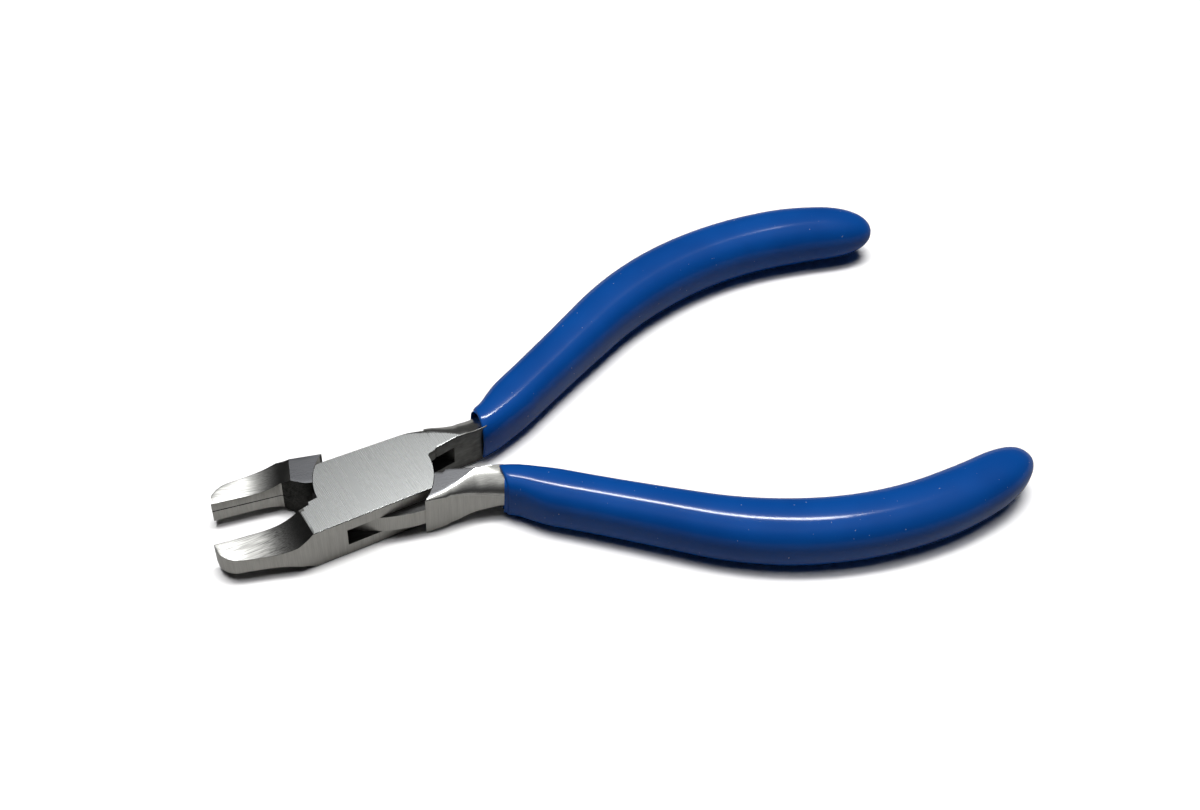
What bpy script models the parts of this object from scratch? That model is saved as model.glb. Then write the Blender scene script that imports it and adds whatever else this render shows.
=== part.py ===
"""Box-joint sprue nippers, 127 mm long, lying flat with the jaws part open.

The origin is on the joint's axis, in the plane of the joint's underside. +X runs to the handles, +Y to the
handle of the box half, +Z up. Lengths below are in millimetres and angles in degrees.

Each half is drawn as it stands when the tool is shut, with its middle line along X, and is then swung open about
the joint. The box half has its handle on the +Y side and its jaw on the -Y side. The tongue half is the other
way round.
"""

import math

import bmesh
import bpy

MM = 0.001

# Opening
HANDLE_SWING = 7.75
HEAD_OFFSET = -2.3

# Joint
JOINT_THICKNESS = 8.4
JOINT_HALF_WIDTH = 5.85
TONGUE_THICKNESS = 3.5
SLIDE_GAP = 0.1
CHEEK_RADIUS = 9.2
TONGUE_RADIUS = 8.8
RIVET_RADIUS = 2.3
RIVET_GAP = 0.06
RIVET_FACETS = 48
ARC_FACETS = 14
RECESS_FACETS = 6
CHEEK_NEAR_RIGHT_Y = -5.75
CHEEK_INNER_ANGLE = 2.8
CHEEK_TO_NECK = ((10.6, 0.75), (12.5, 1.05), (12.5, 5.0), (10.0, 5.55), (7.0, 5.85))
CHEEK_NOTCH = ((-10.8, -0.45), (-10.8, -1.05))
MORTISE = ((-9.8, -0.35), (-7.1, -7.2), (11.0, -7.2), (11.0, 0.4), (13.9, 0.9), (8.6, 7.2), (-9.8, 7.2))
TONGUE_NEAR_LEFT_ANGLE = 217.0
TONGUE_FAR_RIGHT_ANGLE = 41.5
TONGUE_NEAR_SIDE = ((-3.3, -5.5), (-1.4, -5.95), (1.0, -6.28), (4.0, -6.25), (6.4, -5.95), (12.0, -5.0))
TONGUE_IN_NECK = ((12.0, -1.0), (9.0, -0.75))
TONGUE_IN_BLOCK = ((-7.2, 5.35), (-11.5, 5.25), (-11.5, 0.45), (-9.6, 0.2))
BLOCK_THROAT = (-10.9, 0.3)
BLOCK_THROAT_Y = 0.25
BLOCK_EDGE_STEP = 0.4
NECK_ROOT_HALF_WIDTH = 5.8
NECK_ROOT_INNER_Y = 0.7
NECK_ROOT = ((10.0, -5.5), (12.5, -4.95), (12.5, -1.1))

# Jaws
JAW_OVERLAP = 0.8
JAW_STATIONS = 9
NOSE_STATIONS = 5
NOSE_LENGTH = 2.4
NOSE_FLAT = 1.3
EDGE_PROUD = 0.15
RIDGE_TIP = 1.7
RIDGE_LEAST = 1.55
RIDGE_LEAST_AT = -20.0
OUTER_TIP = 1.55
OUTER_LEAST = 1.05
OUTER_LEAST_AT = -21.2
BOX_JAW = {
    "start": -12.1, "tip": -25.7, "edge_root": 1.2, "edge_tip": 0.15, "root": 6.25, "shoulder": 6.55, "nose": 4.25
}
TONGUE_JAW = {
    "start": -12.5, "tip": -24.8, "edge_root": 2.0, "edge_tip": 0.25, "root": 5.3, "shoulder": 5.75, "nose": 3.5
}
SHOULDER_AT = -14.6
NOSE_AT = -23.2
BLOCK_HALF_WIDTH = 5.6

# Handles
NECK_START = 10.5
NECK_TURN_AT = 17.6
NECK_CENTRE = 3.1
NECK_DIRECTION = 1.0
NECK_BEND_RADIUS = 13.0
RUN_DIRECTION = 24.2
RUN_LENGTH = 27.8
BOW_RADIUS = 63.0
BOW_TURN = 53.0
GRIP_START_X = 18.9
GRIP_STATIONS = 20
GRIP_SIDES = 20
TANG_STATIONS = 18
TANG_SIDES = 16
TANG_SHORT_OF_TIP = 7.0
COAT_GAP = 0.12


def clear_scene():
    for old in list(bpy.data.objects):
        bpy.data.objects.remove(old, do_unlink=True)


def finish(name, color, roughness, metallic):
    material = bpy.data.materials.new(name)
    material.use_nodes = True
    shader = material.node_tree.nodes["Principled BSDF"]
    shader.inputs["Base Color"].default_value = (*color, 1.0)
    shader.inputs["Roughness"].default_value = roughness
    shader.inputs["Metallic"].default_value = metallic
    return material


def turned(points, degrees):
    c = math.cos(math.radians(degrees))
    s = math.sin(math.radians(degrees))
    return [(x * c - y * s, x * s + y * c) for x, y in points]


def arc(radius, start, end, facets=ARC_FACETS):
    """Points on a circle about the joint's axis, ends included."""
    angles = [start + (end - start) * i / facets for i in range(facets + 1)]
    return [(radius * math.cos(math.radians(a)), radius * math.sin(math.radians(a))) for a in angles]


def new_object(name, bm, material=None):
    """An object from a bmesh drawn in millimetres about the joint's middle plane."""
    bmesh.ops.recalc_face_normals(bm, faces=bm.faces)
    for vertex in bm.verts:
        vertex.co.z += JOINT_THICKNESS / 2
        vertex.co *= MM
    mesh = bpy.data.meshes.new(name)
    bm.to_mesh(mesh)
    bm.free()
    obj = bpy.data.objects.new(name, mesh)
    bpy.context.scene.collection.objects.link(obj)
    if material:
        mesh.materials.append(material)
    return obj


def prism(name, outline, low, high, material=None):
    bm = bmesh.new()
    face = bm.faces.new([bm.verts.new((x, y, low)) for x, y in outline])
    grown = bmesh.ops.extrude_face_region(bm, geom=[face])
    top = [item for item in grown["geom"] if isinstance(item, bmesh.types.BMVert)]
    bmesh.ops.translate(bm, verts=top, vec=(0, 0, high - low))
    return new_object(name, bm, material)


def loft(name, rings, material=None):
    """A closed skin over rings of equal point count."""
    bm = bmesh.new()
    rows = [[bm.verts.new(point) for point in ring] for ring in rings]
    count = len(rows[0])
    for before, after in zip(rows, rows[1:]):
        for i in range(count):
            j = (i + 1) % count
            bm.faces.new((before[i], before[j], after[j], after[i]))
    bm.faces.new(rows[0])
    bm.faces.new(rows[-1])
    return new_object(name, bm, material)


def combine(target, tool, operation):
    tool.hide_render = True
    tool.display_type = "WIRE"
    cut = target.modifiers.new(tool.name, "BOOLEAN")
    cut.operation = operation
    cut.object = tool


def smooth(obj):
    obj.data.shade_smooth()
    obj.data.set_sharp_from_angle(angle=math.radians(30))


# Jaws ---------------------------------------------------------------------------------------------------------


def hollow(x, jaw, least, least_at, at_tip):
    """Half thickness of the hollow ground jaw: full at its root, least part way out, and fuller again at the tip."""
    if x > least_at:
        share = min(1.0, (x - least_at) / (jaw["start"] - least_at))
        return least + (JOINT_THICKNESS / 2 - least) * share**3
    return least + (at_tip - least) * ((least_at - x) / (least_at - jaw["tip"])) ** 2


def between(x, x0, y0, x1, y1):
    return y0 + (y1 - y0) * (x - x0) / (x1 - x0)


def jaw_outside(x, jaw):
    """The jaw's outer side in plan, as a distance from the middle line, with its nose rounded off."""
    if x > SHOULDER_AT:
        side = between(x, jaw["start"], jaw["root"], SHOULDER_AT, jaw["shoulder"])
    else:
        side = between(x, SHOULDER_AT, jaw["shoulder"], NOSE_AT, jaw["nose"])
    into_nose = (jaw["tip"] + NOSE_LENGTH - x) / NOSE_LENGTH
    if into_nose <= 0:
        return side
    return NOSE_FLAT + (side - NOSE_FLAT) * math.sqrt(max(0.0, 1 - min(1.0, into_nose) ** 2))


def jaw_rings(jaw):
    """Five-cornered sections from the root to the tip, each with its cutting edge first."""
    start, tip = jaw["start"], jaw["tip"]
    nose_start = tip + NOSE_LENGTH
    stations = [start + JAW_OVERLAP, start]
    stations += [between(i, 0, start, JAW_STATIONS, nose_start) for i in range(1, JAW_STATIONS + 1)]
    for i in range(1, NOSE_STATIONS + 1):
        stations.append(nose_start - NOSE_LENGTH * math.sin(math.radians(90 * i / NOSE_STATIONS)))
    rings = []
    for x in stations:
        inner = between(x, tip, jaw["edge_tip"], start, jaw["edge_root"])
        outer = jaw_outside(x, jaw)
        ridge = hollow(x, jaw, RIDGE_LEAST, RIDGE_LEAST_AT, RIDGE_TIP)
        rim = hollow(x, jaw, OUTER_LEAST, OUTER_LEAST_AT, OUTER_TIP)
        upper = [(inner + EDGE_PROUD, ridge), (outer, rim)]
        lower = [(y, -z) for y, z in reversed(upper)]
        rings.append([(x, y, z) for y, z in [(inner, 0.0), *upper, *lower]])
    return rings


# Handles ------------------------------------------------------------------------------------------------------


def handle_path():
    """The handle's middle line with the tool shut: neck, bend, straight run and bow. Gives a function of length."""
    bend = math.radians(RUN_DIRECTION - NECK_DIRECTION) * NECK_BEND_RADIUS
    bow = math.radians(BOW_TURN) * BOW_RADIUS
    neck = NECK_TURN_AT - NECK_START

    def at(length):
        x, y, heading = NECK_START, NECK_CENTRE, math.radians(NECK_DIRECTION)
        for run, turn_radius in ((neck, None), (bend, NECK_BEND_RADIUS), (RUN_LENGTH, None), (bow, -BOW_RADIUS)):
            step = min(length, run)
            if turn_radius is None:
                x += step * math.cos(heading)
                y += step * math.sin(heading)
            else:
                turned_to = heading + step / turn_radius
                x += turn_radius * (math.sin(turned_to) - math.sin(heading))
                y -= turn_radius * (math.cos(turned_to) - math.cos(heading))
                heading = turned_to
            length -= step
            if length <= 0:
                break
        return x, y, heading

    return at, neck + bend + RUN_LENGTH + bow


def along(share, stops):
    """A value eased between stops, each a share of the way and a value."""
    for (s0, v0), (s1, v1) in zip(stops, stops[1:]):
        if share <= s1:
            t = max(0.0, (share - s0) / (s1 - s0))
            return v0 + (v1 - v0) * (3 - 2 * t) * t * t
    return stops[-1][1]


def oval(centre, heading, half_width, half_height, power, sides):
    """One superellipse section square to the handle's middle line."""
    ring = []
    for i in range(sides):
        a = 2 * math.pi * i / sides
        c, s = math.cos(a), math.sin(a)
        across = half_width * math.copysign(abs(c) ** (2 / power), c)
        up = half_height * math.copysign(abs(s) ** (2 / power), s)
        ring.append((centre[0] - across * math.sin(heading), centre[1] + across * math.cos(heading), up))
    return ring


TANG_HALF_WIDTH = ((0.0, 2.4), (0.05, 1.9), (0.1, 2.15), (0.2, 2.8), (0.6, 3.5), (1.0, 2.6))
TANG_HALF_HEIGHT = ((0.0, 4.2), (0.08, 4.05), (0.2, 3.7), (0.6, 3.5), (1.0, 2.9))
TANG_POWER = ((0.0, 7.0), (0.06, 3.6), (0.2, 2.6), (1.0, 2.3))
GRIP_HALF_WIDTH = ((0.0, 2.6), (0.03, 2.85), (0.14, 3.95), (0.55, 4.9), (0.8, 4.85), (1.0, 4.2))
GRIP_HALF_HEIGHT = ((0.0, 4.6), (0.15, 4.6), (0.55, 5.0), (0.8, 4.9), (1.0, 4.3))
GRIP_POWER = ((0.0, 2.8), (0.3, 2.5), (1.0, 2.3))
GRIP_END_LENGTH = 10.0
GRIP_END_STATIONS = 6
GRIP_OVERLAP = 3.0


def tang_rings(extra=0.0):
    """Sections of the neck and the tang. extra grows them all round, to make the space inside a grip."""
    at, length = handle_path()
    end = length - TANG_SHORT_OF_TIP
    stations = [end * (i / TANG_STATIONS) ** 1.5 for i in range(TANG_STATIONS + 1)]
    rings = []
    for s in stations:
        x, y, heading = at(s if s < end else end + extra)
        width = along(s / end, TANG_HALF_WIDTH) + extra
        height = along(s / end, TANG_HALF_HEIGHT) + extra
        rings.append(oval((x, y), heading, width, height, along(s / end, TANG_POWER), TANG_SIDES))
    return rings


def grip_rings():
    at, length = handle_path()
    start = GRIP_START_X - NECK_START - GRIP_OVERLAP
    body_end = length - GRIP_END_LENGTH
    stations = [start + (body_end - start) * i / GRIP_STATIONS for i in range(GRIP_STATIONS)]
    for i in range(GRIP_END_STATIONS):
        stations.append(body_end + GRIP_END_LENGTH * math.sin(math.radians(90 * i / GRIP_END_STATIONS)))
    stations.append(length - 0.1)
    rings = []
    for s in stations:
        x, y, heading = at(s)
        share = (s - start) / (length - start)
        into_end = max(0.0, (s - body_end) / GRIP_END_LENGTH)
        close = (1 - into_end**2.4) ** (1 / 2.2)
        width = along(share, GRIP_HALF_WIDTH) * close
        height = along(share, GRIP_HALF_HEIGHT) * close
        rings.append(oval((x, y), heading, width, height, along(share, GRIP_POWER), GRIP_SIDES))
    return rings


def swung(rings, side, degrees):
    """Rings mirrored to their side of the middle line and swung open about the joint."""
    result = []
    for ring in rings:
        flat = turned([(x, side * y) for x, y, z in ring], degrees)
        result.append([(x, y, point[2]) for (x, y), point in zip(flat, ring)])
    return result


# The two halves -----------------------------------------------------------------------------------------------


def box_outline():
    """The box half in plan: the cheeks, the near jaw's root and the start of the far neck."""
    near_right = math.degrees(math.asin(CHEEK_NEAR_RIGHT_Y / CHEEK_RADIUS))
    far_left = 180 - math.degrees(math.asin(JOINT_HALF_WIDTH / CHEEK_RADIUS))
    outline = [(BOX_JAW["start"], -BOX_JAW["root"])]
    outline += arc(CHEEK_RADIUS, near_right, CHEEK_INNER_ANGLE)
    outline += CHEEK_TO_NECK
    outline += arc(CHEEK_RADIUS, far_left, 180 + CHEEK_INNER_ANGLE)
    outline += [*CHEEK_NOTCH, (BOX_JAW["start"], -BOX_JAW["edge_root"])]
    return outline


def tongue_middle():
    """The thin tongue in plan, which fills the mortise and joins the far jaw to the near neck."""
    outline = arc(TONGUE_RADIUS, 184, TONGUE_NEAR_LEFT_ANGLE, RECESS_FACETS)
    outline += [*TONGUE_NEAR_SIDE, *TONGUE_IN_NECK]
    outline += arc(TONGUE_RADIUS, 4, TONGUE_FAR_RIGHT_ANGLE, RECESS_FACETS)
    outline += TONGUE_IN_BLOCK
    return outline


def shoulder_arc(width, inner):
    """The hollow shoulder that hugs a cheek, from its inner end out, as points on the handle side."""
    radius = CHEEK_RADIUS + SLIDE_GAP
    return arc(radius, math.degrees(math.asin(inner / radius)), math.degrees(math.asin(width / radius)))


def jaw_block_outline():
    """Full-thickness stock between the far jaw and the cheeks."""
    shoulder = [(-x, y) for x, y in reversed(shoulder_arc(BLOCK_HALF_WIDTH, BLOCK_THROAT_Y))]
    grind = TONGUE_JAW["start"]
    edge = (grind, TONGUE_JAW["edge_root"] - BLOCK_EDGE_STEP)
    return shoulder + [BLOCK_THROAT, edge, (grind, TONGUE_JAW["root"])]


def neck_root_outline():
    """Full-thickness stock between the cheeks and the near neck."""
    shoulder = [(x, -y) for x, y in shoulder_arc(NECK_ROOT_HALF_WIDTH, NECK_ROOT_INNER_Y)]
    return shoulder + list(NECK_ROOT)


def make_box_half(steel):
    head = HANDLE_SWING + HEAD_OFFSET
    half = JOINT_THICKNESS / 2
    body = prism("box_half", turned(box_outline(), head), -half, half, steel)
    jaw = loft("box_half.jaw_form", swung(jaw_rings(BOX_JAW), -1, head))
    tang = loft("box_half.tang_form", swung(tang_rings(), 1, HANDLE_SWING))
    combine(body, jaw, "UNION")
    combine(body, tang, "UNION")
    slot_half = TONGUE_THICKNESS / 2 + SLIDE_GAP
    slot = prism("box_half.mortise_cutter", turned(MORTISE, head), -slot_half, slot_half)
    combine(body, slot, "DIFFERENCE")
    return body


def make_tongue_half(steel):
    head = -HANDLE_SWING + HEAD_OFFSET
    half = JOINT_THICKNESS / 2
    tongue_half = TONGUE_THICKNESS / 2
    body = prism("tongue_half", turned(tongue_middle(), head), -tongue_half, tongue_half, steel)
    block = prism("tongue_half.block_form", turned(jaw_block_outline(), head), -half, half)
    root = prism("tongue_half.neck_form", turned(neck_root_outline(), head), -half, half)
    jaw = loft("tongue_half.jaw_form", swung(jaw_rings(TONGUE_JAW), 1, head))
    tang = loft("tongue_half.tang_form", swung(tang_rings(), -1, -HANDLE_SWING))
    for form in (block, root, jaw, tang):
        combine(body, form, "UNION")
    return body


def make_rivet(steel):
    half = JOINT_THICKNESS / 2
    return prism("joint_rivet", arc(RIVET_RADIUS, 0, 360, RIVET_FACETS)[:-1], -half, half, steel)


def drill(body, name):
    """The rivet's hole through a half."""
    over = JOINT_THICKNESS
    hole = prism(name, arc(RIVET_RADIUS + RIVET_GAP, 0, 360, RIVET_FACETS)[:-1], -over, over)
    combine(body, hole, "DIFFERENCE")


def make_grip(name, side, degrees, vinyl, steel_half):
    grip = loft(name, swung(grip_rings(), side, degrees), vinyl)
    space = loft(name + ".tang_space", swung(tang_rings(COAT_GAP), side, degrees))
    combine(grip, space, "DIFFERENCE")
    dip_line = [(0, -20), (GRIP_START_X, -20), (GRIP_START_X, 20), (0, 20)]
    trim = prism(name + ".dip_line_cutter", dip_line, -10, 10)
    combine(grip, trim, "DIFFERENCE")
    grip.parent = steel_half
    return grip


def main():
    clear_scene()
    box_steel = finish("ground_steel_box", (0.56, 0.55, 0.53), 0.34, 1.0)
    tongue_steel = finish("ground_steel_tongue", (0.46, 0.46, 0.45), 0.34, 1.0)
    rivet_steel = finish("rivet_steel", (0.6, 0.6, 0.58), 0.3, 1.0)
    box_vinyl = finish("blue_vinyl_box", (0.008, 0.07, 0.34), 0.2, 0.0)
    tongue_vinyl = finish("blue_vinyl_tongue", (0.008, 0.07, 0.34), 0.2, 0.0)
    box = make_box_half(box_steel)
    tongue = make_tongue_half(tongue_steel)
    drill(box, "box_half.rivet_hole")
    drill(tongue, "tongue_half.rivet_hole")
    rivet = make_rivet(rivet_steel)
    rivet.parent = box
    box_grip = make_grip("box_half_grip", 1, HANDLE_SWING, box_vinyl, box)
    tongue_grip = make_grip("tongue_half_grip", -1, -HANDLE_SWING, tongue_vinyl, tongue)
    for obj in (box, tongue, rivet, box_grip, tongue_grip):
        smooth(obj)


main()
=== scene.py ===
# %% [markdown]
# # A pair of box-joint sprue nippers
#
# The tool is two forged steel halves, a rivet, and two grips of blue vinyl. This file dresses the imported CAD model:
# each CAD node is hidden, and a finer piece that rides on its body stands in for it. A boolean of plain blocks would
# be quicker, but ground steel is mostly reflections, so every face here has to bend the way the real one does.

# %% Load the frame
import math

import bmesh
import bpy
from mathutils import Matrix, Vector


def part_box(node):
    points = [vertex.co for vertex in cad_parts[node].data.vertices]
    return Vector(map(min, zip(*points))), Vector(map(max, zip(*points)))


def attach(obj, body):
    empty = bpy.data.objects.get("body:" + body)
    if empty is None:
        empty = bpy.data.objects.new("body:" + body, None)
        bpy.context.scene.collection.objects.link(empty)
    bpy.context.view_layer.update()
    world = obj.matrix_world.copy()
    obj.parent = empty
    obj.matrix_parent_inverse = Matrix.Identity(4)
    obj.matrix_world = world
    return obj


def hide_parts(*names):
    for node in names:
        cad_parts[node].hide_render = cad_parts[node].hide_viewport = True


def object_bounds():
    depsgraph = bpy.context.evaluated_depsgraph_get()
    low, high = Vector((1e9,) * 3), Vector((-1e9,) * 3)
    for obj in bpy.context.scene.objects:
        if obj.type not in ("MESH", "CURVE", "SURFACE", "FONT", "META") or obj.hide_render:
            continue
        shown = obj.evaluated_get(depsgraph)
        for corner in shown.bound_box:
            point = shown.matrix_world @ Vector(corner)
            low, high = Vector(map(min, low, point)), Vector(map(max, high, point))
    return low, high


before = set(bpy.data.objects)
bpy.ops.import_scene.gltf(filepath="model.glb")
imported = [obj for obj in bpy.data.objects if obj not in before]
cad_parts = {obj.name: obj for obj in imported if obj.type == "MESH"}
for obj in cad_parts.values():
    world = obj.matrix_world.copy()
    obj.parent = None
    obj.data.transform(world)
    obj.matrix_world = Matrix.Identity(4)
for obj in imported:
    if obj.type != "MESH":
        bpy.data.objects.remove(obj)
CAD_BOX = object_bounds()
MM = 0.001
JOINT_LOW, JOINT_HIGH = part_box("joint_rivet")
MIDDLE = (JOINT_LOW.z + JOINT_HIGH.z) / 2 / MM
HALF = (JOINT_HIGH.z - JOINT_LOW.z) / 2 / MM

# %% [markdown]
# ## Planes, points and turns
#
# Both halves are drawn in one and the same way, as if the tool were shut: the jaw lies to the left, its outer side
# towards -Y, and the handle leaves to the right on the +Y side. A half is then mirrored if need be and turned open
# about the rivet. Working so means that one set of formulas makes both halves. All lengths are in millimetres.

# %% Opening of the tool
HANDLE_SWING = 7.75
HEAD_OFFSET = -2.3
BOX_SIDE, TONGUE_SIDE = 1, -1


def turn(point, degrees):
    c, s = math.cos(math.radians(degrees)), math.sin(math.radians(degrees))
    return (point[0] * c - point[1] * s, point[0] * s + point[1] * c)


def head(side):
    """Places a point of a head, drawn shut, where it stands at rest."""
    return lambda point: turn((point[0], side * point[1]), side * HANDLE_SWING + HEAD_OFFSET)


def handle(side):
    """Places a point of a handle, drawn shut, where it stands at rest."""
    return lambda point: turn((point[0], side * point[1]), side * HANDLE_SWING)


def arc(radius, start, end, step=1.5):
    count = max(2, round(abs(end - start) / step))
    angles = [math.radians(start + (end - start) * i / count) for i in range(count + 1)]
    return [(radius * math.cos(a), radius * math.sin(a)) for a in angles]


def read(at, stops, eased=False):
    """The value at a place between stops, each a place and a value."""
    if at <= stops[0][0]:
        return stops[0][1]
    for (p0, v0), (p1, v1) in zip(stops, stops[1:]):
        if at <= p1:
            t = (at - p0) / (p1 - p0)
            t = (3 - 2 * t) * t * t if eased else t
            return v0 + (v1 - v0) * t
    return stops[-1][1]


print("heads stand at", HANDLE_SWING + HEAD_OFFSET, "and", -HANDLE_SWING + HEAD_OFFSET, "degrees")

# %% [markdown]
# ## Skins over sections
#
# A plier half changes its section all the way along: a hollow ground jaw, a flat plate, a neck that rounds over, a
# tang. A skin drawn over a row of sections follows that closely. Each section is a four-sided outline whose corners
# are quarter ellipses, so that the same outline is a crisp block in the joint and nearly an oval at the grip.

# %% Sections and skins
CORNER_STEPS = 9
TOP_STEPS = 8
SEAM_LEVELS = (0.19, 0.09)


def quarter(across, down, turn_to=90):
    """A rounded corner from the wall up on to the top face, as steps in from the wall and down from the top.

    A corner that turns less than 90 degrees meets the top face in a faint crease.
    """
    last = math.radians(turn_to)
    angles = [last * i / CORNER_STEPS for i in range(CORNER_STEPS + 1)]
    return [(across * (1 - math.cos(a)) / (1 - math.cos(last)), down * (1 - math.sin(a) / math.sin(last)))
            for a in angles]


def section(near, far, tall, near_round, far_round, edge=0.0, seam=0.0, deeper=(0.0, 0.0)):
    """One closed section between two points in plan. It is as deep as it is tall, or deeper by a share."""
    span = math.dist(near, far)
    ux, uy = (far[0] - near[0]) / span, (far[1] - near[1]) / span
    near_corner = [(i, tall[0] - d) for i, d in quarter(*near_round)]
    far_corner = [(span - i, tall[1] - d) for i, d in quarter(*far_round)][::-1]
    (d0, z0), (d1, z1) = near_corner[-1], far_corner[0]
    top = [(d0 + (d1 - d0) * i / TOP_STEPS, z0 + (z1 - z0) * i / TOP_STEPS) for i in range(1, TOP_STEPS)]
    upper = near_corner + top + far_corner + [(span + edge, z) for z in SEAM_LEVELS]
    lower = [(d, -z * (1 + deeper[0] + (deeper[1] - deeper[0]) * min(1.0, d / span))) for d, z in reversed(upper)]
    outline = upper + [(span + edge - seam, 0.0)] + lower
    return [(near[0] + ux * d, near[1] + uy * d, z) for d, z in outline]


def mesh_piece(name, bm):
    """An object from a bmesh drawn in millimetres about the joint's middle plane."""
    bmesh.ops.recalc_face_normals(bm, faces=bm.faces)
    if bm.calc_volume(signed=True) < 0:
        bmesh.ops.reverse_faces(bm, faces=bm.faces)
    for vertex in bm.verts:
        vertex.co.z += MIDDLE
        vertex.co *= MM
    mesh = bpy.data.meshes.new(name)
    bm.to_mesh(mesh)
    bm.free()
    piece = bpy.data.objects.new(name, mesh)
    bpy.context.scene.collection.objects.link(piece)
    return piece


def skin(name, rings):
    """A closed skin over rings of equal point count."""
    bm = bmesh.new()
    rows = [[bm.verts.new(point) for point in ring] for ring in rings]
    for before, after in zip(rows, rows[1:]):
        for i in range(len(before)):
            j = (i + 1) % len(before)
            bm.faces.new((before[i], before[j], after[j], after[i]))
    bm.faces.new(rows[0])
    bm.faces.new(rows[-1])
    return mesh_piece(name, bm)


def block(name, outline, low, high):
    bm = bmesh.new()
    face = bm.faces.new([bm.verts.new((x, y, low)) for x, y in outline])
    grown = bmesh.ops.extrude_face_region(bm, geom=[face])
    top = [item for item in grown["geom"] if isinstance(item, bmesh.types.BMVert)]
    bmesh.ops.translate(bm, verts=top, vec=(0, 0, high - low))
    return mesh_piece(name, bm)


def combine(body, tool, operation):
    """Cuts a tool out of a body, or joins it on, and throws the tool away."""
    change = body.modifiers.new("change", "BOOLEAN")
    change.operation = operation
    change.object = tool
    shape = bpy.data.meshes.new_from_object(body.evaluated_get(bpy.context.evaluated_depsgraph_get()))
    body.modifiers.clear()
    body.data = shape
    bpy.data.objects.remove(tool, do_unlink=True)


# %% [markdown]
# ## The jaws
#
# A nipper's jaw is hollow ground above and below: full height where it leaves the joint, thinnest part way out, and
# a little fuller again at the nose, which leaves two thin blades that meet edge to edge. The grinding wheel's round
# shape gives the hollow, so the height falls off as a cube from the root. In plan the outer side runs in a gentle
# taper to a rounded nose.

# %% Jaw shapes
NOSE_LENGTH = 2.4
NOSE_FLAT = 1.3
SHOULDER_AT = -14.6
NOSE_AT = -23.2
FINE_EDGE = (0.1, 0.1)
UNDERSIDE = 1.0
BOX_JAW = {"start": -12.1, "tip": -25.7, "edge": ((-25.7, 0.15), (-12.1, 1.2)), "root": 6.42, "shoulder": 6.52,
           "nose": 4.3, "lean": 0.09, "rim": (1.05, -21.2, 1.55)}
TONGUE_JAW = {"start": -12.5, "tip": -24.8, "edge": ((-24.8, 0.25), (-14.2, 1.75), (-12.5, 1.1)), "root": 5.3, "shoulder": 5.8,
              "nose": 3.5, "lean": 0.0, "rim": (2.1, -21.0, 1.75)}


def hollow(x, jaw, least, least_at, at_tip):
    """Half height of the blade: full at the root, least part way out, fuller again at the nose."""
    if x > least_at:
        share = min(1.0, (x - least_at) / (jaw["start"] - least_at))
        return least + (HALF - least) * share**3
    return least + (at_tip - least) * ((least_at - x) / (least_at - jaw["tip"])) ** 2


def jaw_outside(x, jaw):
    side = read(x, ((NOSE_AT, jaw["nose"]), (SHOULDER_AT, jaw["shoulder"]), (jaw["start"], jaw["root"])))
    if x < NOSE_AT:
        side = jaw["nose"] + (x - NOSE_AT) * (jaw["shoulder"] - jaw["nose"]) / (SHOULDER_AT - NOSE_AT)
    into_nose = min(1.0, (jaw["tip"] + NOSE_LENGTH - x) / NOSE_LENGTH)
    if into_nose <= 0:
        return side
    return NOSE_FLAT + (side - NOSE_FLAT) * math.sqrt(1 - into_nose**2)


def jaw_sections(jaw, place):
    """Sections from the nose to the root, closely spaced, each with its cutting edge on the far side."""
    nose_start = jaw["tip"] + NOSE_LENGTH
    places = [nose_start - NOSE_LENGTH * math.cos(math.radians(a)) for a in range(0, 90, 9)]
    count = 34
    places += [nose_start + (jaw["start"] - 0.02 - nose_start) * i / count for i in range(count + 1)]
    rings = []
    for x in places:
        lean = jaw["lean"] * read(x, ((-20.0, 0.0), (jaw["start"], 1.0)))
        inner, outer = read(x, jaw["edge"]), jaw_outside(x, jaw)
        ridge = hollow(x, jaw, 1.55, -20.0, 1.7)
        rim = hollow(x, jaw, *jaw["rim"])
        near = place((x, -outer))
        far = place((x - lean * (outer - inner), -inner - 0.15))
        extra = UNDERSIDE * (1 - max(0.0, (x - NOSE_AT) / (jaw["start"] - NOSE_AT)) ** 3)
        deeper = (min(extra, HALF - rim) / rim, min(extra, HALF - ridge) / ridge)
        rings.append(section(near, far, (rim, ridge), FINE_EDGE, (0.05, 0.05), edge=0.15, seam=0.2, deeper=deeper))
    return rings


# %% [markdown]
# ## Necks and tangs
#
# Behind the joint each half narrows to a neck and runs on as a round tang inside its grip. The joint's flat faces
# reach a little way on to the neck, and there the outer corner rolls over more and more until nothing flat is left.
# That is why the flat ends in a point: it's where the growing corner reaches the inner wall.

# %% Handle shapes
NECK_START, NECK_TURN_AT, NECK_CENTRE = 10.5, 17.6, 3.1
NECK_DIRECTION, RUN_DIRECTION = 1.0, 24.2
NECK_BEND_RADIUS, BOW_RADIUS = 13.0, 63.0
RUN_LENGTH, BOW_TURN = 27.8, 53.0
TANG_SHORT_OF_TIP = 7.0
TANG_HALF_WIDTH = ((0.0, 2.4), (4.6, 1.95), (9.1, 2.15), (18.0, 2.8), (55.0, 3.5), (92.0, 2.6))
TANG_HALF_HEIGHT = ((0.0, 4.2), (4.0, 4.18), (8.4, 3.95), (18.0, 3.7), (55.0, 3.5), (92.0, 2.9))
OUTER_ROLL = ((-4.0, 0.12), (-2.3, 0.4), (0.0, 1.0), (1.7, 1.7), (3.2, 2.5), (4.3, 3.2), (5.0, 3.7), (9.0, 3.7), (14.0, 2.5))
OUTER_DROP = ((-4.0, 0.12), (-2.3, 0.25), (0.0, 0.7), (1.7, 1.2), (3.2, 1.9), (5.0, 2.5), (9.0, 3.0), (16.0, 3.4))
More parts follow.
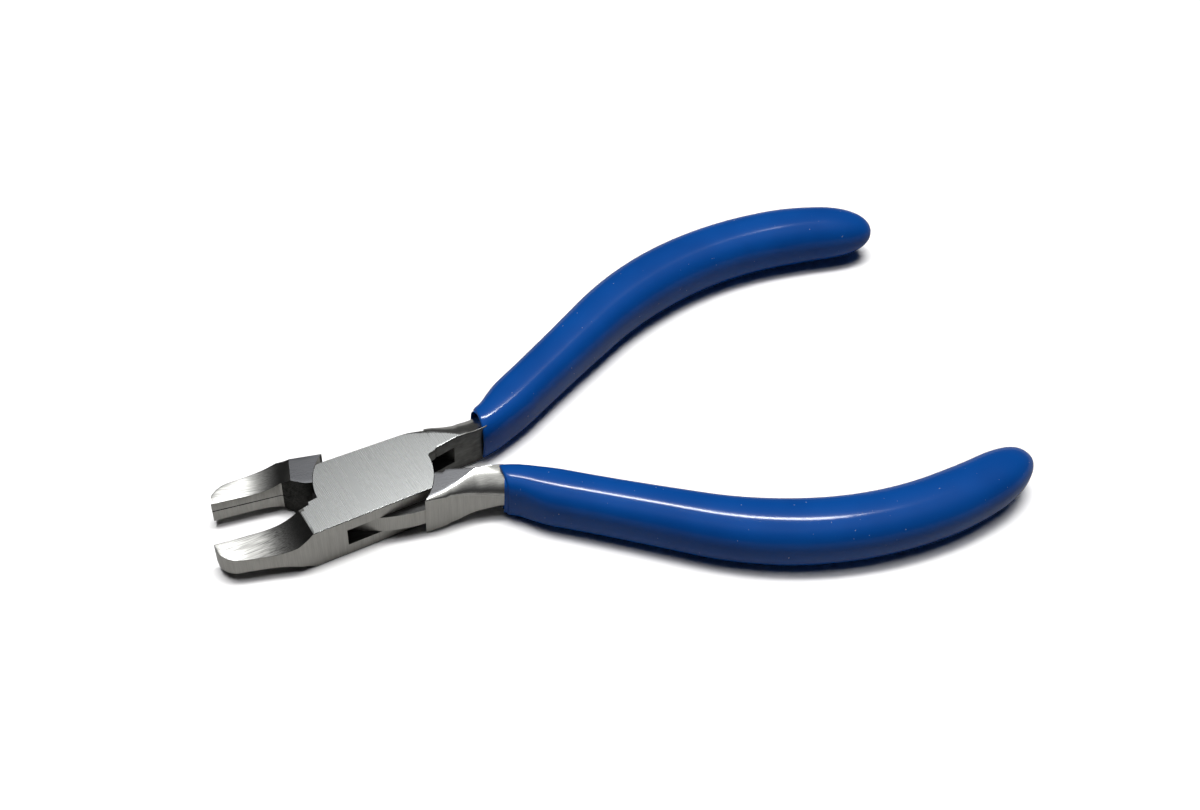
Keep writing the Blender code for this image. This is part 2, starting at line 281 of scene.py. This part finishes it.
OUTER_TILT = ((6.0, 0.0), (8.5, 0.25), (16.0, 0.0))
CREASED = 74
INNER_ROLL = ((1.0, 0.1), (9.0, 0.15), (16.0, 2.4))
INNER_DROP = ((1.0, 0.1), (9.0, 0.15), (16.0, 3.4))


def handle_path():
    """The handle's middle line: neck, bend, straight run and bow. Gives place and heading at a length along it."""
    bend = math.radians(RUN_DIRECTION - NECK_DIRECTION) * NECK_BEND_RADIUS
    bow = math.radians(BOW_TURN) * BOW_RADIUS
    neck = NECK_TURN_AT - NECK_START

    def at(length):
        x, y, heading = NECK_START, NECK_CENTRE, math.radians(NECK_DIRECTION)
        for run, radius in ((neck, None), (bend, NECK_BEND_RADIUS), (RUN_LENGTH, None), (bow, -BOW_RADIUS)):
            step = min(length, run)
            if radius is None:
                x += step * math.cos(heading)
                y += step * math.sin(heading)
            else:
                after = heading + step / radius
                x += radius * (math.sin(after) - math.sin(heading))
                y -= radius * (math.cos(after) - math.cos(heading))
                heading = after
            length -= step
            if length <= 0:
                break
        return x, y, heading

    return at, neck + bend + RUN_LENGTH + bow


PATH, PATH_LENGTH = handle_path()
TANG_LENGTH = PATH_LENGTH - TANG_SHORT_OF_TIP
print("handle", round(PATH_LENGTH, 1), "mm from neck to tip")


def neck_section(length, place, grow=0.0):
    """A section of the neck or tang. A positive grow gives the space round it."""
    x, y, heading = PATH(length)
    half = read(length, TANG_HALF_WIDTH, eased=True) + grow
    tall = read(length, TANG_HALF_HEIGHT, eased=True) + grow
    nx, ny = -math.sin(heading), math.cos(heading)
    near, far = (x - nx * half, y - ny * half), (x + nx * half, y + ny * half)
    inner = (min(half * 0.96, read(length, INNER_ROLL)), min(tall * 0.95, read(length, INNER_DROP)))
    outer_roll = min(2 * half - inner[0] - 0.05, read(length, OUTER_ROLL))
    outer = (outer_roll, min(tall * 0.95, read(length, OUTER_DROP)), CREASED)
    return section(place(near), place(far), (tall, tall - read(length, OUTER_TILT)), inner, outer)


NECK_PLACES = [0.5 + 0.5 * i for i in range(34)] + [17.5 + 2.5 * i for i in range(29)]
NECK_PLACES = [s for s in NECK_PLACES if s < TANG_LENGTH] + [TANG_LENGTH]

# %% [markdown]
# ## The box half
#
# This half is the box of the box joint: two flat cheeks with a slot between them, its near jaw on the left and its
# far handle on the right. One skin runs from the nose to the end of the tang. The places where the other half's
# shoulders sit are then cut away on an arc about the rivet, and the slot is cut through from side to side.

# %% Box half
CHEEK_RADIUS = 9.2
PLATE_NEAR = ((-11.9, 6.42), (6.6, 5.78))
PLATE_FAR = ((3.4, 5.85), (7.9, 5.84), (10.9, 5.5))
NECK_BREAK = 10.93
TONGUE_HALF, SLIDE_GAP = 1.75, 0.1
RIVET_RADIUS = 2.3


def plate_sections(place):
    rings = []
    places = [BOX_JAW["start"], BOX_JAW["start"] + 0.3] + [-11.0 + 0.8 * i for i in range(27)] + [10.6, 10.9]
    for x in places:
        near = place((x, -read(x, PLATE_NEAR)))
        lean = -BOX_JAW["lean"] * (read(x, PLATE_NEAR) + 1.2) if x == BOX_JAW["start"] else 0.0
        far = place((x + lean, read(x, PLATE_FAR)))
        roll, drop = read(x - 10.5, OUTER_ROLL), read(x - 10.5, OUTER_DROP)
        rings.append(section(near, far, (HALF, HALF), FINE_EDGE, (roll, drop)))
    return rings


def box_half_shape():
    place, tang_place = head(BOX_SIDE), handle(BOX_SIDE)
    rings = jaw_sections(BOX_JAW, place) + plate_sections(place)
    rings += [neck_section(s, tang_place) for s in NECK_PLACES]
    body = skin("box_half_steel", rings)
    over = HALF + 2
    near_right = -math.degrees(math.asin(read(6.6, PLATE_NEAR) / CHEEK_RADIUS))
    right = [(6.0, -12.0)] + arc(CHEEK_RADIUS, near_right - 4, 1.6)
    right += [(9.36, 0.6), (9.9, 0.74), (10.55, 0.9), (10.75, 1.12), (NECK_BREAK, 1.22), (NECK_BREAK + 0.1, 1.2),
              (NECK_BREAK + 0.1, -12.0)]
    far_left = 180 - math.degrees(math.asin(5.66 / CHEEK_RADIUS))
    left = [(-5.5, 9.0), (-5.55, 5.84), (-6.85, 5.78)] + arc(CHEEK_RADIUS, far_left, 181.8)
    left += [(-9.55, -0.33), (-10.76, -0.5), (-10.8, -1.03), (-12.33, -1.36), (-12.64, -1.36), (-13.2, 9.0)]
    for outline in (right, left):
        combine(body, block("shoulder_room", [place(p) for p in outline], -over, over), "DIFFERENCE")
    slot_half = TONGUE_HALF + SLIDE_GAP
    slot = [(-9.8, -0.35), (-9.2, -0.9), (-7.0, -4.6), (-6.75, -7.4), (11.2, -7.4), (11.2, 0.4), (14.2, 0.6),
            (14.2, 2.1), (8.6, 7.2), (-9.8, 7.2)]
    combine(body, block("slot", [place(p) for p in slot], -slot_half, slot_half), "DIFFERENCE")
    hole = arc(RIVET_RADIUS + 0.004, 0, 360, 5)[:-1]
    combine(body, block("hole", hole, -over, over), "DIFFERENCE")
    return body


# %% [markdown]
# ## The tongue half
#
# The other half narrows to a thin tongue that fills the slot. Its jaw and its neck keep the joint's full height, and
# each ends in a hollow shoulder that hugs a cheek. So the jaw and the neck are two skins, a cylinder a hair wider than
# the cheeks cuts both, and the tongue joins them.

# %% Tongue half
TONGUE_RADIUS = 8.8
BLOCK_NEAR = ((-12.5, 5.35), (-7.3, 5.62))
BLOCK_FAR = ((-12.5, 1.1), (-11.1, 0.5), (-10.3, 0.22))


def tongue_jaw_shape(place):
    rings = jaw_sections(TONGUE_JAW, place)
    for x in (-12.5, -12.2, -11.9, -11.6, -11.25, -10.9, -10.4, -9.8, -9.3, -8.0, -6.5):
        near, far = place((x, -read(x, BLOCK_NEAR))), place((x, -read(x, BLOCK_FAR)))
        rings.append(section(near, far, (HALF, HALF), FINE_EDGE, (0.08, 0.08)))
    return skin("tongue_half_steel", rings)


def tongue_neck_shape(place, tang_place):
    rings = []
    for x in [5.0 + 0.5 * i for i in range(12)]:
        near, far = place((x, read(x, ((5.0, 0.2), (9.3, 0.62), (10.9, 0.95))))), place((x, read(x, ((5.0, 6.0), (7.1, 5.95), (10.9, 5.32)))))
        roll, drop = read(x - 10.2, OUTER_ROLL), read(x - 10.2, OUTER_DROP)
        rings.append(section(near, far, (HALF, HALF), FINE_EDGE, (roll, drop, CREASED)))
    rings += [neck_section(s, tang_place) for s in NECK_PLACES]
    return skin("neck", rings)


def tongue_half_shape():
    place, tang_place = head(TONGUE_SIDE), handle(TONGUE_SIDE)
    body = tongue_jaw_shape(place)
    neck = tongue_neck_shape(place, tang_place)
    over = HALF + 2
    for part in (body, neck):
        cheek_room = arc(CHEEK_RADIUS + SLIDE_GAP, 0, 360, 1.5)[:-1]
        combine(part, block("cheek_room", cheek_room, -over, over), "DIFFERENCE")
    corner = [(6.9, 7.5), (6.95, 6.0), (7.25, 5.6), (7.6, 7.5)]
    tongue = arc(TONGUE_RADIUS, 176, 143, 3) + [(-4.3, 5.25), (-3.3, 5.45), (-2.4, 5.72), (-1.4, 5.95), (-0.2, 6.18), (1.0, 6.28)]
    tongue += [(2.6, 6.29), (4.0, 6.24), (5.4, 6.1), (6.4, 5.94), (9.6, 5.3), (11.5, 4.8), (11.5, 1.4), (9.0, 0.9)]
    tongue += arc(TONGUE_RADIUS, -4, -41.5, 3) + [(-7.2, -5.3), (-11.3, -5.2), (-11.3, -0.6), (-9.6, -0.3)]
    middle = block("tongue", [place(p) for p in tongue], -TONGUE_HALF, TONGUE_HALF)
    combine(body, middle, "UNION")
    combine(body, neck, "UNION")
    hole = arc(RIVET_RADIUS + 0.004, 0, 360, 5)[:-1]
    combine(body, block("hole", hole, -over, over), "DIFFERENCE")
    return body


box_half, tongue_half = box_half_shape(), tongue_half_shape()
for half in (box_half, tongue_half):
    print(half.name, len(half.data.polygons), "faces")

# %% [markdown]
# ## The rivet
#
# The rivet is set cold and ground off with the cheeks, so all that can be seen of it is a hairline ring. It's a short
# pin with a fine edge all round.

# %% Rivet
PIN_EDGE = 0.01


def turned_pin(name, radius, half, edge, sides=72):
    rings = []
    for z, r in ((-half, radius - edge), (-half + edge, radius), (half - edge, radius), (half, radius - edge)):
        rings.append([(r * math.cos(2 * math.pi * i / sides), r * math.sin(2 * math.pi * i / sides), z)
                      for i in range(sides)])
    return skin(name, rings)


rivet = turned_pin("rivet_pin", RIVET_RADIUS, HALF, PIN_EDGE)

# %% [markdown]
# ## The grips
#
# Each handle is dipped in liquid vinyl, which leaves a thick glossy sleeve with a thin lip at the dip line and a
# rounded end. Its section is a soft oval, a little square near the neck. The outer skin turns in at the lip and runs
# back along the tang, so the sleeve is a real hollow with the steel inside it.

# %% Grips
DIP_LINE = 18.9
GRIP_HALF_WIDTH = ((0.0, 2.6), (0.03, 2.85), (0.14, 3.95), (0.55, 4.9), (0.8, 4.85), (1.0, 4.2))
GRIP_HALF_HEIGHT = ((0.0, 4.6), (0.15, 4.6), (0.55, 5.0), (0.8, 4.9), (1.0, 4.3))
GRIP_POWER = ((0.0, 2.8), (0.3, 2.5), (1.0, 2.3))
GRIP_END = 10.0
GRIP_SIDES = 56
PAST_DIP_LINE = 3.0
LIP = 0.3
COAT_GAP = 0.12


def superellipse(half_width, half_height, power, sides):
    """A soft oval section as steps across and up."""
    outline = []
    for i in range(sides):
        a = 2 * math.pi * i / sides
        c, s = math.cos(a), math.sin(a)
        across = half_width * math.copysign(abs(c) ** (2 / power), c)
        outline.append((across, half_height * math.copysign(abs(s) ** (2 / power), s)))
    return outline


def grip_ring(length, side, shrink=0.0, sides=GRIP_SIDES):
    start = DIP_LINE - NECK_START - PAST_DIP_LINE
    x, y, heading = PATH(length)
    share = (length - start) / (PATH_LENGTH - start)
    into_end = min(1.0, max(0.0, (length - (PATH_LENGTH - GRIP_END)) / GRIP_END))
    close = (1 - into_end**2.4) ** (1 / 2.2)
    half_width = read(share, GRIP_HALF_WIDTH, eased=True) * close - shrink
    half_height = read(share, GRIP_HALF_HEIGHT, eased=True) * close - shrink
    outline = superellipse(half_width, half_height, read(share, GRIP_POWER), sides)
    square_on = min(1.0, max(0.0, (length - (DIP_LINE - NECK_START)) / 9.0))
    square_on = (3 - 2 * square_on) * square_on**2
    lean = -math.radians(HANDLE_SWING)
    angle = lean + (heading - lean) * square_on
    stretch = 1 / math.cos(heading - angle)
    place = handle(side)
    ring = []
    for across, up in outline:
        p = place((x - across * stretch * math.sin(angle), y + across * stretch * math.cos(angle)))
        ring.append((p[0], p[1], up))
    return ring


def tang_space(length, side, sides, grow):
    """An oval round the tang, for the inside of a grip."""
    x, y, heading = PATH(length)
    half_width = read(length, TANG_HALF_WIDTH, eased=True) + grow
    half_height = read(length, TANG_HALF_HEIGHT, eased=True) + grow
    place = handle(side)
    ring = []
    for across, up in superellipse(half_width, half_height, 4.0, sides):
        p = place((x - across * math.sin(heading), y + across * math.cos(heading)))
        ring.append((p[0], p[1], up))
    return ring


def grip_shape(name, side):
    """Inner skin from its deep end out to the lip, round the lip, and the outer skin on to the rounded tip."""
    place = handle(side)
    start = DIP_LINE - NECK_START
    while place(PATH(start)[:2])[0] < DIP_LINE:
        start += 0.01
    body_end = PATH_LENGTH - GRIP_END
    depths = [start + 0.2 + 3.0 * i for i in range(30)]
    depths = [s for s in depths if s < TANG_LENGTH] + [TANG_LENGTH + COAT_GAP]
    rings = [tang_space(s, side, GRIP_SIDES, COAT_GAP) for s in reversed(depths)]
    for t in range(-90, 91, 15):
        a = math.radians(t)
        shrink = LIP * (1 - math.sin(a)) if t > 0 else LIP * (1 + math.sin(-a))
        rings.append(grip_ring(start + LIP * (1 - math.cos(a)), side, shrink=shrink))
    count = 90
    rings += [grip_ring(start + LIP + (body_end - start - LIP) * i / count, side) for i in range(1, count)]
    rings += [grip_ring(body_end + GRIP_END * math.sin(math.radians(3 * i)), side) for i in range(30)]
    rings.append(grip_ring(PATH_LENGTH - 0.02, side))
    return skin(name, rings)


box_grip = grip_shape("box_half_vinyl", BOX_SIDE)
tongue_grip = grip_shape("tongue_half_vinyl", TONGUE_SIDE)
print("grips", len(box_grip.data.polygons), "faces each")

# %% [markdown]
# ## Shader sums
#
# A node graph is a long sum drawn as boxes. This small class wraps a socket so that the sum can be written as a sum:
# every operator adds the Math node that it stands for. One method adds any other node.


# %% Shader helpers
class Value:
    def __init__(self, graph, socket):
        self.graph = graph
        self.socket = socket

    def math(self, operation, first, second, clamp=False):
        return self.graph.add("Math", {"operation": operation, "use_clamp": clamp}, {0: first, 1: second})

    def __add__(self, other):
        return self.math("ADD", self, other)

    def __sub__(self, other):
        return self.math("SUBTRACT", self, other)

    def __rsub__(self, other):
        return self.math("SUBTRACT", other, self)

    def __mul__(self, other):
        return self.math("MULTIPLY", self, other)

    __radd__ = __add__
    __rmul__ = __mul__

    def held(self):
        """The value kept between 0 and 1."""
        return self.math("ADD", self, 0.0, clamp=True)


class Graph:
    def __init__(self, tree):
        self.tree = tree

    def add(self, kind, settings=None, inputs=None, output=0):
        node = self.tree.nodes.new("ShaderNode" + kind)
        for name, value in (settings or {}).items():
            if name == "stops":
                ramp = node.color_ramp.elements
                while len(ramp) < len(value):
                    ramp.new(0.5)
                for element, (at, color) in zip(ramp, value):
                    element.position = at
                    element.color = color
            else:
                setattr(node, name, value)
        for name, value in (inputs or {}).items():
            if isinstance(value, Value):
                self.tree.links.new(value.socket, node.inputs[name])
            else:
                node.inputs[name].default_value = value
        return Value(self, node.outputs[output])

    def mix(self, factor, first, second):
        """Two colours mixed, each a colour or a socket."""
        first, second = [c if isinstance(c, Value) else (*c, 1.0) for c in (first, second)]
        return self.add("Mix", {"data_type": "RGBA"}, {0: factor, 6: first, 7: second}, output=2)

    def noise(self, where, scale, detail=3.0, roughness=0.5):
        return self.add("TexNoise", None, {"Vector": where, "Scale": scale, "Detail": detail, "Roughness": roughness})

    def grey(self, value, low, high):
        """A value spread so that low becomes 0 and high becomes 1, and held there."""
        return ((value - low) * (1 / (high - low))).held()


def finish(name):
    material = bpy.data.materials.new(name)
    material.use_nodes = True
    return material, Graph(material.node_tree), material.node_tree.nodes["Principled BSDF"]


def feed(graph, shader, **inputs):
    for name, value in inputs.items():
        socket = shader.inputs[name.replace("_", " ")]
        if isinstance(value, Value):
            graph.tree.links.new(value.socket, socket)
        else:
            socket.default_value = value


# %% [markdown]
# ## Ground steel
#
# Every face of the head was ground on a belt or a wheel, and each leaves scratches that run one way. Scratches are a
# noise stretched some thirty times along the grinding direction. They change the colour a little and the shine a
# little more, and a faint relief of the same noise spreads the reflections across them. Each sort of face has its own
# direction and its own polish, so it gets its own finish. Several finishes also carry painted shade in their colour:
# the tongue half's darker flats, the two blades' different brightness and their darkened roots, the near-black finish
# for the slot and the edges, the far neck's inner wall, and in part the throat.


# %% Steel finishes
def ground_steel(name, color, polish, direction, upright=False, length=5.0, width=0.16, contrast=0.3, relief=3.0,
                 root=None):
    """Bare steel ground along a direction in plan, in degrees, or straight up. Past a root, given as two places along
    x, the colour darkens to painted shade.
    """
    material, graph, shader = finish(name)
    where = graph.add("TexCoord", output=3)
    tilt = (0.0, math.radians(90), 0.0) if upright else (0.0, 0.0, math.radians(direction))
    size = (length * MM, width * MM, width * MM)
    grain = graph.add("Mapping", {"vector_type": "TEXTURE"}, {"Vector": where, "Rotation": tilt, "Scale": size})
    coarse_size = (length * 2.2 * MM, width * 4 * MM, width * 4 * MM)
    broad = graph.add("Mapping", {"vector_type": "TEXTURE"}, {"Vector": where, "Rotation": tilt, "Scale": coarse_size})
    scratches = graph.noise(grain, 1.0, detail=4.0, roughness=0.6)
    bands = graph.noise(broad, 1.0, detail=2.0)
    cloud = graph.noise(where, 220.0, detail=2.0)
    tone = graph.grey(scratches * 0.55 + bands * 0.3 + cloud * 0.15, 0.36, 0.64)
    dark = tuple(c * (1 - contrast) for c in color)
    light = tuple(min(1.0, c * (1 + contrast * 0.45)) for c in color)
    height = graph.add("Bump", None, {"Strength": 1.0, "Distance": relief * 0.001 * MM, "Height": scratches + bands}, output=0)
    shown = graph.mix(tone, dark, light)
    # Painted shade: the colour darkens along x towards the blade's root.
    if root:
        along = graph.add("SeparateXYZ", None, {0: where})
        painted_root_shade = graph.grey(along + (bands - 0.5) * (3 * MM), root[0] * MM, root[1] * MM)
        shown = graph.mix(painted_root_shade, shown, tuple(c * 0.22 for c in color))
    feed(graph, shader, Base_Color=shown, Roughness=polish + 0.12 * (0.5 - tone),
         Metallic=1.0, Normal=height)
    return material


BOX_TURN, TONGUE_TURN = HANDLE_SWING + HEAD_OFFSET, -HANDLE_SWING + HEAD_OFFSET
PLATE = ground_steel("plate_steel", (0.34, 0.35, 0.345), 0.26, BOX_TURN + 96, contrast=0.5, relief=0.6, length=9.0, width=0.12)
# Painted shade: the tongue half's flats are ground steel like the plate, given a far darker colour for the darker way
# they catch the light.
FACET = ground_steel("facet_steel", (0.12, 0.123, 0.13), 0.30, TONGUE_TURN + 4, contrast=0.3, length=3.0, relief=1.0)
NECK_FACET = ground_steel("neck_facet_steel", (0.10, 0.102, 0.107), 0.3, TONGUE_TURN + 4, contrast=0.35, length=3.0, relief=0.8)
# Painted light: the two blades are the same steel, the near one given a darker colour and the far one a lighter one
# for how the light falls on each. Each root pair marks where painted shade darkens the blade towards the joint.
BLADE_BOX = ground_steel("near_blade_steel", (0.31, 0.31, 0.297), 0.36, BOX_TURN, contrast=0.7, width=0.14, relief=3.0,
                         root=(-17.5, -12.0))
BLADE_TONGUE = ground_steel("far_blade_steel", (0.50, 0.50, 0.48), 0.36, TONGUE_TURN, contrast=0.7, width=0.14, relief=3.0,
                            root=(-19.5, -13.5))
WALL = ground_steel("wall_steel", (0.60, 0.59, 0.555), 0.38, 0, upright=True, contrast=0.14, length=4.0)
NECK = ground_steel("neck_steel", (0.60, 0.60, 0.57), 0.2, -6, contrast=0.25, length=2.0, relief=3.0)
# The throat between the jaws: rough unground steel, its near-black colour partly its own and partly painted shade.
THROAT = ground_steel("rough_throat_steel_in_painted_shade", (0.05, 0.05, 0.046), 0.5, 30, contrast=0.7, length=0.6, width=0.3, relief=40.0)
# Painted shade: a near-black steel for faces in shade, the slot's hidden faces, the line along the cutting edge and
# the plate's rounded edges.
PAINTED_SHADE = ground_steel("painted_shade_steel", (0.05, 0.05, 0.05), 0.5, 0, contrast=0.4)
# The far neck's inner wall: rough forged steel, its dark colour painted shade.
FORGED_IN_SHADE = ground_steel("forged_steel_in_painted_shade", (0.15, 0.15, 0.142), 0.42, 24, contrast=0.35, length=1.5, width=0.5, relief=9.0)
STEELS = [PLATE, FACET, NECK_FACET, BLADE_BOX, BLADE_TONGUE, WALL, NECK, THROAT, PAINTED_SHADE, FORGED_IN_SHADE]
print(len(STEELS), "steel finishes")

# %% [markdown]
# ## Which face has which finish
#
# The faces are sorted by where they lie and which way they look, because that is how they were ground: the cheeks
# together, each blade on the wheel, the side walls on the belt. Faces that lie in shade, in the slot, along the
# cutting edge, on the plate's edges, in the throat and on the far neck's inner wall, get dark finishes as painted
# shade; in the throat the dark is partly the rough unground steel itself.


# %% Sort the faces
THROAT_AT = -14.0


def shade(piece, degrees=28):
    """Smooth shading that stays flat on the large faces, because they count for more at a shared corner."""
    piece.data.shade_smooth()
    piece.data.set_sharp_from_angle(angle=math.radians(degrees))
    weigh = piece.modifiers.new("weigh", "WEIGHTED_NORMAL")
    weigh.keep_sharp = True
    weigh.weight = 80


def sort_faces(piece, side, flat, blade, jaw):
    """Gives each face of a half its finish."""
    angle = -(side * HANDLE_SWING + HEAD_OFFSET)
    piece.data.materials.clear()
    for steel in STEELS:
        piece.data.materials.append(steel)
    for face in piece.data.polygons:
        centre, normal = face.center / MM, face.normal
        x, y = turn((centre.x, centre.y), angle)
        nx, ny = turn((normal.x, normal.y), angle)
        y, ny = side * y, side * ny
        level = abs(centre.z - MIDDLE)
        if x < jaw["start"] - 0.02:
            # The line along the cutting edge is painted shade.
            if level < SEAM_LEVELS[1] and ny > 0.2:
                steel = PAINTED_SHADE
            elif abs(normal.z) > 0.5:
                steel = blade
            # Faces at the jaw's root that look inwards or to the tip take the throat's finish, partly painted shade.
            elif x > THROAT_AT and (ny > 0 or nx < -0.7):
                steel = THROAT
            else:
                steel = WALL
        # Faces inside the slot get painted shade.
        elif level < TONGUE_HALF + 0.2 and abs(normal.z) > 0.9:
            steel = PAINTED_SHADE
        # The tongue's faces within the cheeks get painted shade.
        elif side == TONGUE_SIDE and level < TONGUE_HALF and y < 5.0 and math.hypot(x, y) < CHEEK_RADIUS + 0.3:
            steel = PAINTED_SHADE
        # The tongue half's flats take its darker flat finish, which is painted shade.
        elif abs(normal.z) > 0.995 and level > HALF - 0.1:
            steel = NECK_FACET if side == TONGUE_SIDE and x > 0 else flat
        # The far neck's inner wall gets the forged steel in painted shade.
        elif x > 8.8 and ny < -0.08 and side == BOX_SIDE:
            steel = FORGED_IN_SHADE
        elif x > 6.5 and abs(normal.z) > 0.3:
            steel = NECK
        # The tongue block's inner faces take the throat's finish, partly painted shade.
        elif x < -8.5 and y > -1.6 and abs(normal.z) < 0.9:
            steel = THROAT
        # The plate's rounded edges and slanted faces get painted shade, a thin dark line.
        elif x < 7.2 and 0.05 < abs(normal.z) < 0.98:
            steel = PAINTED_SHADE
        else:
            steel = WALL
        face.material_index = STEELS.index(steel)


sort_faces(box_half, BOX_SIDE, PLATE, BLADE_BOX, BOX_JAW)
sort_faces(tongue_half, TONGUE_SIDE, FACET, BLADE_TONGUE, TONGUE_JAW)
rivet.data.materials.append(PLATE)
for piece in (box_half, tongue_half, rivet):
    shade(piece)

# %% [markdown]
# ## Dipped vinyl
#
# The coat is glossy, and its colour is in the vinyl itself. It's a smooth surface with a faint orange peel from the
# dip, cloudy shifts in the blue, and a few specks of dust that were caught in it.


# %% Vinyl finish
def vinyl(name):
    material, graph, shader = finish(name)
    where = graph.add("TexCoord", output=3)
    cloud = graph.noise(where, 90.0, detail=2.0)
    peel = graph.noise(where, 420.0, detail=2.0)
    speck = graph.grey(graph.noise(where, 2600.0, detail=0.0), 0.86, 0.88)
    blue = graph.mix(graph.grey(cloud, 0.35, 0.65), (0.0024, 0.082, 0.40), (0.0034, 0.098, 0.46))
    relief = graph.add("Bump", None, {"Strength": 1.0, "Distance": 0.004 * MM, "Height": peel})
    feed(graph, shader, Base_Color=graph.mix(speck, blue, (0.25, 0.35, 0.6)), Roughness=0.1 + 0.06 * cloud,
         Normal=relief, IOR=1.5, Specular_IOR_Level=0.22)
    return material


box_grip.data.materials.append(vinyl("box_grip_vinyl"))
tongue_grip.data.materials.append(vinyl("tongue_grip_vinyl"))
for piece in (box_grip, tongue_grip):
    shade(piece, 60)

# %% [markdown]
# ## Each piece on its body
#
# A piece rides on the CAD body that it belongs to and stands for that body's CAD node. The rivet is tight in the box
# half, so it moves with it.

# %% Ride and replace
for piece, body, node, slot in (
    (box_half, "box", "box_half", "box_steel"),
    (tongue_half, "tongue", "tongue_half", "tongue_steel"),
    (rivet, "box", "joint_rivet", "rivet_steel"),
    (box_grip, "box", "box_half_grip", "box_vinyl"),
    (tongue_grip, "tongue", "tongue_half_grip", "tongue_vinyl"),
):
    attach(piece, body)
    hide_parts(node)
    print(piece.name, "rides on", body)

# %% [markdown]
# ## Floor, lights and camera
#
# Bright metal shows its surroundings, so the studio is part of the finish: a long narrow lamp high up behind gives the
# thin line on the grips and a short dark shadow in front, a pale dome overhead fills the steel, and the dark below the
# dome draws its edges. The dome lights nothing by itself, it's only there to be reflected.

# %% Floor
low, high = CAD_BOX
CONTACT_FRONT, CONTACT_BACK = -0.0125, 0.062
slope = math.atan2(-low.z, CONTACT_BACK - CONTACT_FRONT)
bpy.ops.mesh.primitive_plane_add(size=6.0, location=(CONTACT_FRONT, 0.0, 0.0), rotation=(0.0, slope, 0.0))
floor = bpy.context.object
floor.name = "floor"
print("floor slopes", round(math.degrees(slope), 2), "degrees")
material, graph, shader = finish("floor_white")
direct = graph.add("LightPath", output=0)
feed(graph, shader, Base_Color=graph.mix(direct, (0.25, 0.25, 0.25), (0.88, 0.88, 0.89)), Roughness=0.9)
shader.inputs["Specular IOR Level"].default_value = 0.1
floor.data.materials.append(material)

# %% Lights
AIM = Vector((0.0400, 0.0050, 0.0042))


def lamp(name, azimuth, elevation, distance, size, power, color):
    """A rectangular lamp aimed at the tool, its long side level."""
    a, e = math.radians(azimuth), math.radians(elevation)
    away = Vector((math.sin(a) * math.cos(e), math.cos(a) * math.cos(e), math.sin(e)))
    data = bpy.data.lights.new(name, "AREA")
    data.shape = "RECTANGLE"
    data.size, data.size_y = size
    data.energy = power
    data.color = color
    made = bpy.data.objects.new(name, data)
    bpy.context.scene.collection.objects.link(made)
    made.location = AIM + away * distance
    made.rotation_mode = "QUATERNION"
    made.rotation_quaternion = away.to_track_quat("Z", "Y")
    return made


key = lamp("key_lamp", 10, 85, 0.75, (0.42, 0.10), 4.6, (1.0, 0.99, 0.97))
key.visible_glossy = False
strip = lamp("strip_lamp", 38, 67, 0.75, (0.28, 0.075), 4.3, (1.0, 1.0, 1.0))
strip.visible_diffuse = False
sun_data = bpy.data.lights.new("floor_sun", "SUN")
sun_data.energy = 2.2
sun_data.angle = math.radians(40)
floor_sun = bpy.data.objects.new("floor_sun", sun_data)
bpy.context.scene.collection.objects.link(floor_sun)
floor_sun.rotation_euler = (math.radians(-6), 0.0, 0.0)
lit = bpy.data.collections.new("lit_by_floor_sun")
lit.objects.link(floor)
floor_sun.light_linking.receiver_collection = lit

world = bpy.data.worlds.new("studio")
bpy.context.scene.world = world
world.use_nodes = True
sky = Graph(world.node_tree)
way = sky.add("TexCoord", output=0)
parts = world.node_tree.nodes.new("ShaderNodeSeparateXYZ")
world.node_tree.links.new(way.socket, parts.inputs[0])
height = Value(sky, parts.outputs[2])
dome = sky.add("ValToRGB", {"stops": [
    (0.0, (0.10, 0.10, 0.102, 1)), (0.40, (0.05, 0.05, 0.052, 1)), (0.66, (0.15, 0.15, 0.155, 1)),
    (0.80, (0.34, 0.34, 0.345, 1)), (0.94, (0.75, 0.75, 0.75, 1))]}, {0: height})
seen = sky.add("LightPath", output=0)
back = world.node_tree.nodes["Background"]
shown = sky.mix(seen, dome, (0.93, 0.93, 0.94))
world.node_tree.links.new(shown.socket, back.inputs["Color"])
world.cycles_visibility.diffuse = False

# %% Camera
EYE = Vector((-32.73, -148.47, 206.63)) * MM
LOOK_AT = Vector((39.66, 5.20, 4.20)) * MM
ROLL = math.radians(4.926)
LENS = 48.36
data = bpy.data.cameras.new("camera")
data.sensor_width = 36.0
data.lens = LENS
data.clip_start, data.clip_end = 0.01, 20.0
camera = bpy.data.objects.new("camera", data)
bpy.context.scene.collection.objects.link(camera)
back_way = (EYE - LOOK_AT).normalized()
right_way = Vector((0, 0, 1)).cross(back_way).normalized()
up_way = back_way.cross(right_way)
basis = Matrix((right_way, up_way, back_way)).transposed() @ Matrix.Rotation(ROLL, 3, "Z")
camera.matrix_world = Matrix.Translation(EYE) @ basis.to_4x4()
bpy.context.scene.camera = camera
bpy.context.scene.view_settings.view_transform = "Standard"
